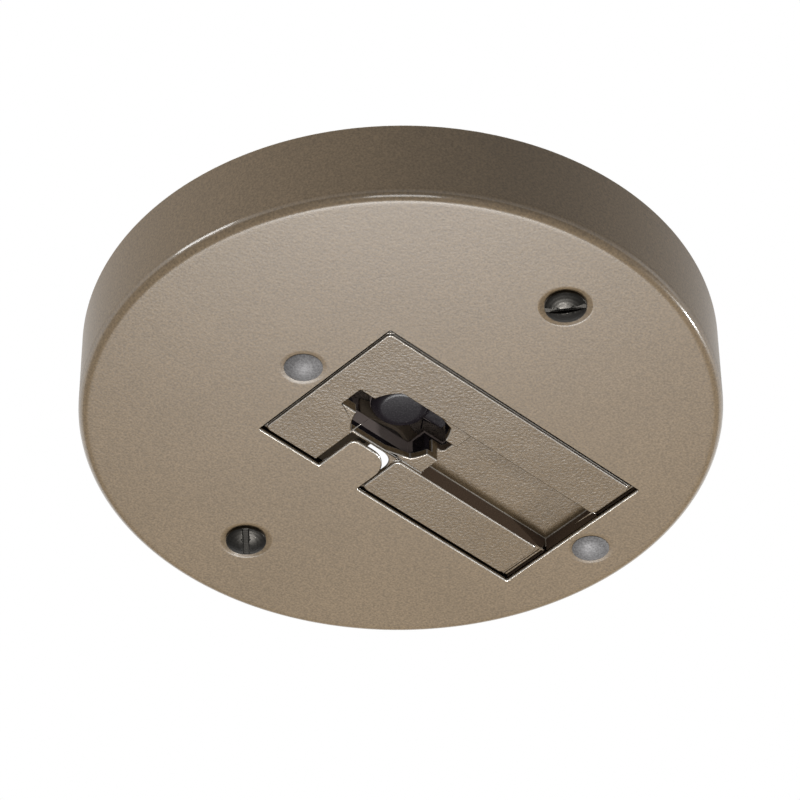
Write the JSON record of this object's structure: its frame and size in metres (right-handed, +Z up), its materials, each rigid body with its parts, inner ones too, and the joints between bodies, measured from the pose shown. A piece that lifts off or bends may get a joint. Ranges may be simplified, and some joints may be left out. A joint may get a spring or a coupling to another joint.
{
  "type": "light fixture ceiling canopy",
  "caption": "Round ceiling canopy for one plug-in spotlight, with a riveted adapter cradle, a keyed socket over a contact block, and a crossbar for the outlet box.",
  "frame": {"origin": "centre of the ceiling plane, on the canopy's axis, in the plane of the rim and of the crossbar's ceiling face", "axes": "+Z up into the ceiling, away from the visible face; +X along the adapter's trench, away from the keyed hole; +Y towards the tongue and along the crossbar"},
  "size_m": [0.127, 0.127, 0.0202],
  "materials": {
    "canopy_finish": "satin nickel coloured paint with a fine metallic grain",
    "cradle_finish": "the same paint over a casting, with orange peel",
    "rivet_metal": "plain, dull",
    "canopy_screw_metal": "dark plated, turned",
    "crossbar_zinc": "zinc plated",
    "small_screw_zinc": "zinc plated",
    "earth_green": "green passivated",
    "block_moulding": "black thermosetting moulding, glossy",
    "cover_moulding": "black moulding, satin",
    "fibre": "dark vulcanised fibre, rough",
    "contact_strip": "rolled strip",
    "line_brass": "plain",
    "neutral_nickel": "nickel plated"
  },
  "bodies": {
    "root": {"canopy": "canopy_finish", "adapter_cradle": "cradle_finish", "cradle_rivets": "rivet_metal", "canopy_screws": "canopy_screw_metal", "crossbar": "crossbar_zinc", "ground_screw": "earth_green", "contact_housing": "block_moulding", "housing_cover": "cover_moulding", "fibre_sheet": "fibre", "line_contact": "contact_strip", "neutral_contact": "contact_strip", "ground_contact": "contact_strip", "line_terminal_screw": "line_brass", "neutral_terminal_screw": "neutral_nickel", "ground_terminal_screw": "earth_green", "cover_screws": "small_screw_zinc", "housing_screws": "small_screw_zinc"}
  },
  "joints": []
}
